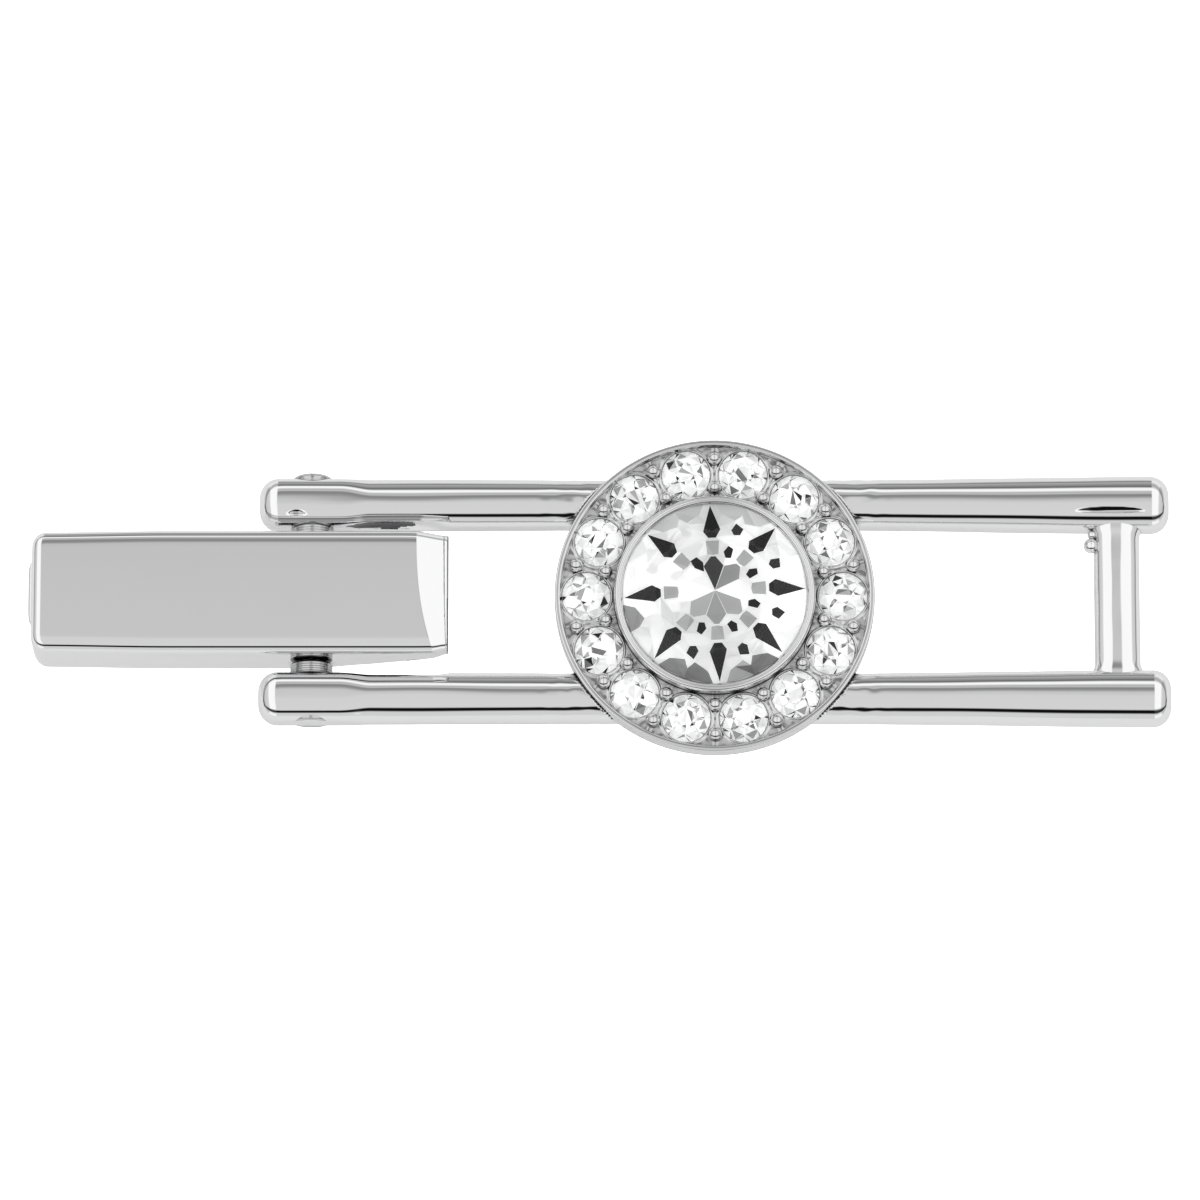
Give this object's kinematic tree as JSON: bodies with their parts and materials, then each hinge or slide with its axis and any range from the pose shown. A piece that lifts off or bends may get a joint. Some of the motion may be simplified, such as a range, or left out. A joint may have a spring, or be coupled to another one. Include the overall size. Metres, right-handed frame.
{
  "type": "hair clip",
  "caption": "Fold-over hair clip with two rounded rails, a round crystal halo around a centre stone, a folding lever on a riveted pin and a cross bar.",
  "frame": {"origin": "centre of the clip's bounding box in X and Y, on the plane of its back", "axes": "+X along the rails from the lever's grip towards the cross bar, +Y across the rails, +Z out of the front through the stones"},
  "size_m": [0.0496, 0.0138, 0.0033],
  "materials": {
    "rail_metal": "rhodium plate, mirror polish",
    "pin_metal": "rhodium plate, polished",
    "halo_metal": "rhodium plate, polished casting",
    "lever_metal": "rhodium plate, mirror polish",
    "crystal": "clear cut crystal with a foiled back"
  },
  "bodies": {
    "frame": {"upper_rail": "rail_metal", "lower_rail": "rail_metal", "cross_bar": "rail_metal", "solder_beads": "rail_metal", "hinge_pin": "pin_metal", "upper_collar": "pin_metal", "lower_collar": "pin_metal", "halo_cup": "halo_metal", "centre_bezel": "halo_metal", "centre_stone": "crystal", "ring_stone_01": "crystal", "ring_stone_02": "crystal", "ring_stone_03": "crystal", "ring_stone_04": "crystal", "ring_stone_05": "crystal", "ring_stone_06": "crystal", "ring_stone_07": "crystal", "ring_stone_08": "crystal", "ring_stone_09": "crystal", "ring_stone_10": "crystal", "ring_stone_11": "crystal", "ring_stone_12": "crystal", "ring_stone_13": "crystal", "ring_stone_14": "crystal"},
    "lever": {"lever_cover": "lever_metal", "lever_liner": "lever_metal", "lever_bushing": "pin_metal"}
  },
  "joints": [
    {"name": "lever_hinge", "type": "hinge", "parent": "frame", "child": "lever", "pos_m": [-0.01252, 0, 0.0011], "axis": [0, -1, 0], "range_deg": [-90, 172]}
  ]
}
